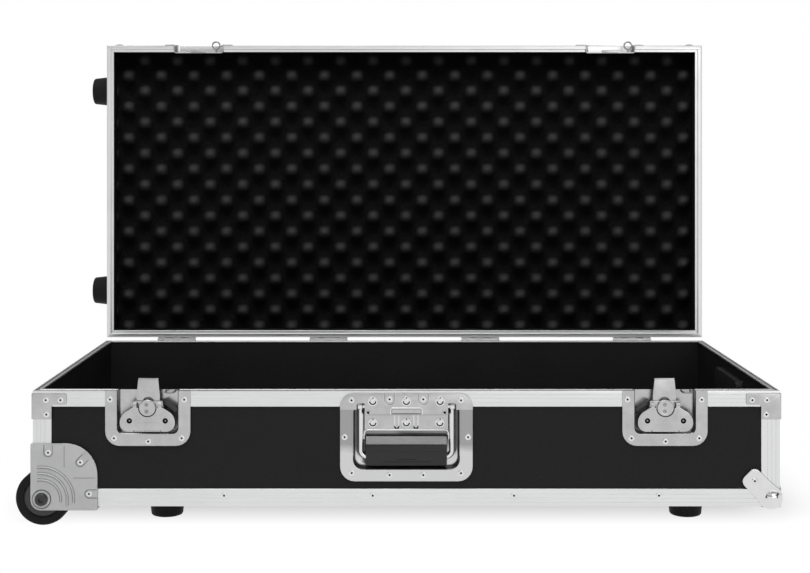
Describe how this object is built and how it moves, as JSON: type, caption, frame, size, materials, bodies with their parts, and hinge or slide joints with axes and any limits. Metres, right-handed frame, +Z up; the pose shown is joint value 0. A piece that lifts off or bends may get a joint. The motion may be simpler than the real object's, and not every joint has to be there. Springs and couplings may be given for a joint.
{
  "type": "guitar pedal case",
  "caption": "Open flight case for guitar pedals: foam-lined hinged lid, aluminium edging, butterfly latches, recessed handles, corner wheels and rubber feet.",
  "frame": {"origin": "ground point under the middle of the open case's outline", "axes": "+X along the case's width to the right as seen from the latch side, +Y from the latch side to the hinge side, +Z up"},
  "size_m": [0.8956, 0.5046, 0.5928],
  "materials": {
    "laminate": "plywood faced with black grained laminate",
    "edging": "satin extrusion with fine lengthwise lines",
    "plated_steel": "bright zinc-plated pressed steel",
    "chrome": "polished plating",
    "casting": "matt grey casting",
    "rubber": "matt black rubber",
    "black_steel": "blackened socket-head bolt",
    "foam": "soft black egg-crate foam"
  },
  "bodies": {
    "base": {"base_floor_panel": "laminate", "base_front_panel": "laminate", "base_back_panel": "laminate", "base_left_panel": "laminate", "base_right_panel": "laminate", "base_rim_frame": "edging", "base_rim_front": "edging", "base_lower_frame": "edging", "base_lower_edge_left": "edging", "corner_brace_front_left": "plated_steel", "corner_brace_front_right": "plated_steel", "latch_dish_left": "plated_steel", "latch_dish_right": "plated_steel", "handle_front_backplate": "plated_steel", "hinge_1_base_leaf": "plated_steel", "hinge_2_base_leaf": "plated_steel", "hinge_3_base_leaf": "plated_steel", "hinge_4_base_leaf": "plated_steel", "base_ball_corner_front_right": "chrome", "base_ball_corner_back_right": "chrome", "handle_front_dish": "chrome", "handle_side_dish": "chrome", "wheel_bracket_front": "casting", "wheel_bracket_back": "casting", "base_foot_front_left": "rubber", "base_foot_back_left": "rubber", "base_foot_front_right": "rubber", "base_foot_back_right": "rubber", "wheel_axle_bolt_front": "black_steel", "wheel_axle_bolt_back": "black_steel"},
    "lid": {"lid_top_panel": "laminate", "lid_wall_frame": "laminate", "lid_rim_frame": "edging", "lid_rim_front": "edging", "lid_top_frame": "edging", "latch_keeper_left": "plated_steel", "latch_keeper_right": "plated_steel", "hinge_1_lid_leaf": "plated_steel", "hinge_2_lid_leaf": "plated_steel", "hinge_3_lid_leaf": "plated_steel", "hinge_4_lid_leaf": "plated_steel", "lid_ball_corner_front_left": "chrome", "lid_ball_corner_front_right": "chrome", "lid_ball_corner_back_left": "chrome", "lid_ball_corner_back_right": "chrome", "lid_foot_front": "rubber", "lid_foot_back": "rubber", "lid_foam": "foam"},
    "latch_left_drive": {"latch_drive_left": "chrome"},
    "latch_left_hook": {"latch_hook_left": "plated_steel"},
    "latch_left_wing": {"latch_wing_left": "plated_steel"},
    "latch_right_drive": {"latch_drive_right": "chrome"},
    "latch_right_hook": {"latch_hook_right": "plated_steel"},
    "latch_right_wing": {"latch_wing_right": "plated_steel"},
    "wheel_front_body": {"wheel_front": "rubber"},
    "wheel_back_body": {"wheel_back": "rubber"},
    "handle_front": {"handle_front_bail": "chrome", "handle_front_grip": "rubber"},
    "handle_side": {"handle_side_bail": "chrome", "handle_side_grip": "rubber"}
  },
  "joints": [
    {"name": "lid_hinge", "type": "hinge", "parent": "base", "child": "lid", "pos_m": [0.00875, 0.1843, 0.1574], "axis": [-1, 0, 0], "range_deg": [-90, 0]},
    {"name": "latch_left_pull", "type": "slide", "parent": "base", "child": "latch_left_hook", "axis": [0, 0.4201, -0.9075], "range_m": [0, 0.00595]},
    {"name": "latch_left_turn", "type": "hinge", "parent": "base", "child": "latch_left_drive", "pos_m": [-0.29125, -0.2447, 0.1379], "axis": [0, -1, 0], "range_deg": [-90, 0]},
    {"name": "latch_left_flip", "type": "hinge", "parent": "latch_left_drive", "child": "latch_left_wing", "pos_m": [-0.29125, -0.24785, 0.1423], "axis": [-1, 0, 0], "range_deg": [0, 90]},
    {"name": "latch_right_pull", "type": "slide", "parent": "base", "child": "latch_right_hook", "axis": [0, 0.4201, -0.9075], "range_m": [0, 0.00595]},
    {"name": "latch_right_turn", "type": "hinge", "parent": "base", "child": "latch_right_drive", "pos_m": [0.30875, -0.2447, 0.1379], "axis": [0, -1, 0], "range_deg": [-90, 0]},
    {"name": "latch_right_flip", "type": "hinge", "parent": "latch_right_drive", "child": "latch_right_wing", "pos_m": [0.30875, -0.24785, 0.1423], "axis": [-1, 0, 0], "range_deg": [0, 90]},
    {"name": "wheel_front_spin", "type": "hinge", "parent": "base", "child": "wheel_front_body", "pos_m": [-0.41385, -0.2304, 0.032], "axis": [0, 1, 0], "continuous": true},
    {"name": "wheel_back_spin", "type": "hinge", "parent": "base", "child": "wheel_back_body", "pos_m": [-0.41385, 0.166, 0.032], "axis": [0, 1, 0], "continuous": true},
    {"name": "handle_front_swing", "type": "hinge", "parent": "base", "child": "handle_front", "pos_m": [0.00875, -0.2397, 0.1386], "axis": [-1, 0, 0], "range_deg": [0, 90], "stiffness_Nm_per_rad": 0.15},
    {"name": "handle_side_swing", "type": "hinge", "parent": "base", "child": "handle_side", "pos_m": [0.43725, -0.0322, 0.1386], "axis": [0, -1, 0], "range_deg": [0, 90], "stiffness_Nm_per_rad": 0.15}
  ],
  "couplings": [
    {"joint": "latch_left_turn", "follows": "latch_left_pull", "rad_per_m": -264},
    {"joint": "latch_right_turn", "follows": "latch_right_pull", "rad_per_m": -264}
  ]
}
